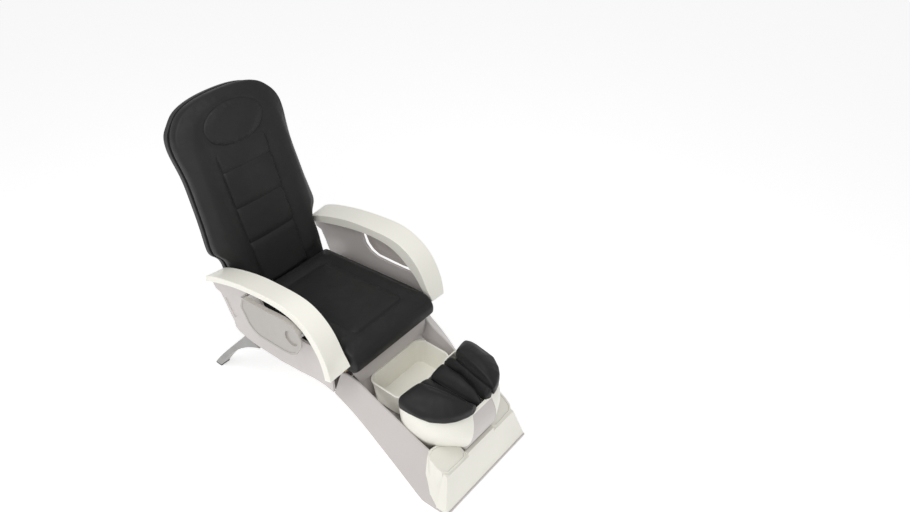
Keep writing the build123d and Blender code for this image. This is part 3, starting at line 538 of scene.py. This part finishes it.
def make_centre_panel():
    """Centre panel with three sewn cross channels."""
    piece = cushion_start("back_panel_upholstery", ["back_centre_panel"], 0.005, 0.0, 6)
    inflate(piece, 0.006)
    refine(piece, 1)
    points, normals = points_of(piece.data), normals_of(piece.data)
    x, up, out = back_coordinates(points)
    front = step(normals @ BACK_OUT, 0.1, 0.6)
    sink = sum(groove(up - seam, 0.016, 0.0050, 0.0022) for seam in CROSS_SEAMS)
    crown = 0.006 * (1 - (x / 0.13) ** 2)
    points += BACK_OUT * (front * (crown - sink))[:, None]
    points += BACK_UP * (PANEL_REACH_UP * step(up, 0.60, 0.66))[:, None]
    points[:, 0] *= PANEL_WIDER
    set_points(piece.data, points)
    finish_cushion(piece, "back", ["back_centre_panel"])


def make_pillow():
    """Oval head pillow."""
    piece = cushion_start("head_pillow_upholstery", ["head_pillow"], 0.005, 0.001, 8)
    inflate(piece, 0.008)
    refine(piece, 1)
    finish_cushion(piece, "back", ["head_pillow"])


def hull(points):
    """Convex outline of points in plan, anticlockwise."""
    ordered = sorted(map(tuple, np.round(points, 5)))

    def chain(sequence):
        made = []
        for p in sequence:
            while len(made) > 1 and ((made[-1][0] - made[-2][0]) * (p[1] - made[-2][1])
                                     - (made[-1][1] - made[-2][1]) * (p[0] - made[-2][0])) <= 0:
                made.pop()
            made.append(p)
        return made[:-1]

    return np.array(chain(ordered) + chain(ordered[::-1]))


def depths(plan, outline):
    """Distance inside each side of a convex outline, and the sides' outward normals."""
    along = np.roll(outline, -1, axis=0) - outline
    length = np.linalg.norm(along, axis=1)
    keep = length > 0.004
    normals = np.stack((along[:, 1], -along[:, 0]), 1)[keep] / length[keep, None]
    return np.einsum("kj,nkj->nk", normals, outline[keep][None, :, :] - plan[:, None, :]), normals


def dome(piece, node, outer, inner, rear, grow):
    """Lowers the top of each half towards its outer, centre-facing and rear sides; each is (drop, reach)."""
    low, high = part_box(node)
    cad = points_of(NODES[node].data)
    points = points_of(piece.data)
    for sign in (-1, 1):
        mine = points[:, 0] * sign > 0
        outline = hull(cad[cad[:, 0] * sign > 0][:, :2])
        inside, normals = depths(points[mine][:, :2], outline)
        facing = normals[:, 0] * sign
        back = normals[:, 1] > 0.5
        share = np.ones(mine.sum())
        for sides, (drop, reach) in ((~back & (facing > -0.5), outer), (facing < -0.5, inner), (back, rear)):
            if sides.any():
                share -= drop * (1 - np.clip(inside[:, sides].min(axis=1) / reach, 0, 1)) ** 2
        height = (points[mine, 2] - low.z) / (high.z - low.z)
        points[mine, 2] = low.z + height * share * (high.z - low.z)
        away = points[mine][:, :2] - outline.mean(axis=0)
        away /= np.maximum(np.linalg.norm(away, axis=1, keepdims=True), 1e-6)
        spread = grow * (1 - np.clip(inside.min(axis=1) / 0.02, 0, 1))
        points[mine, :2] += away * spread[:, None]
    set_points(piece.data, points)


# node, cap of the swelling, smoothing; drop and reach at the outer, inner and rear sides; spread; and how
# far the front is drawn forward
PADS = (
    ("foot_pads", 0.012, 9, (0.45, 0.120), (0.02, 0.010), (0.12, 0.030), 0.003, 0.0),
    ("foot_roll_outer", 0.006, 9, (0.06, 0.016), (0.50, 0.060), (0.12, 0.040), 0.004, 0.010),
    ("foot_roll_inner", 0.006, 9, (0.06, 0.016), (0.60, 0.085), (0.08, 0.040), 0.003, 0.012),
)


def make_pads():
    """The two domed foot pads and the calf rolls between them."""
    for name, cap, rounds, outer, inner, rear, spread, forward in PADS:
        piece = cushion_start(name + "_upholstery", [name], 0.0045, 0.001, rounds)
        inflate(piece, cap)
        refine(piece)
        dome(piece, name, outer, inner, rear, spread)
        points = points_of(piece.data)
        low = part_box(name)[0]
        points[:, 1] -= forward * (1 - step(points[:, 1], low.y + 0.01, low.y + 0.09))
        set_points(piece.data, points)
        finish_cushion(piece, "base", [name])


CAP_SLOPE = math.radians(33.3)
CAP_NORMAL = np.array((0.0, -math.sin(CAP_SLOPE), math.cos(CAP_SLOPE)))
CAP_PLATE_SINK = 0.0025
CAP_LEVEL_SPAN = 0.0004
# radius of the dark tube that paints the shade in the gap at each cap's rim
CAP_SHADE_LINE_RADIUS = 0.0011


def make_cap_shade_lines():
    """Painted shade: a thin dark grey tube laid in the narrow gap between each corner cap's rim and its
    sunken plate, where shade falls.
    """
    for name in ("corner_cap_right", "corner_cap_left"):
        points = points_of(NODES[name].data)
        level = points @ CAP_NORMAL
        plate_level = level.max() - CAP_PLATE_SINK
        plate = points[np.abs(level - plate_level) < CAP_LEVEL_SPAN]
        outline = hull(plate[:, :2])
        height = (plate_level - outline @ CAP_NORMAL[:2]) / CAP_NORMAL[2]
        curve = bpy.data.curves.new(name + "_shade_line", "CURVE")
        curve.dimensions = "3D"
        curve.bevel_depth = CAP_SHADE_LINE_RADIUS
        curve.bevel_resolution = 2
        line = curve.splines.new("POLY")
        line.points.add(len(outline) - 1)
        for spot, (x, y), z in zip(line.points, outline, height):
            spot.co = (x, y, z, 1.0)
        line.use_cyclic_u = True
        rope = bpy.data.objects.new(name + "_rope", curve)
        bpy.context.scene.collection.objects.link(rope)
        piece = bpy.data.objects.new(name + "_shade_line", mesh_of(rope))
        bpy.data.objects.remove(rope)
        bpy.context.scene.collection.objects.link(piece)
        piece.data.materials.clear()
        # the darker tray grey paints the shade in the gap; the tube is not a real part
        piece.data.materials.append(MATERIALS["tray_grey"])
        piece.data.shade_smooth()
        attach(piece, "base")


make_stage()
make_camera()
dress_nodes()
make_seat()
make_back()
make_centre_panel()
make_pillow()
make_pads()
make_cap_shade_lines()
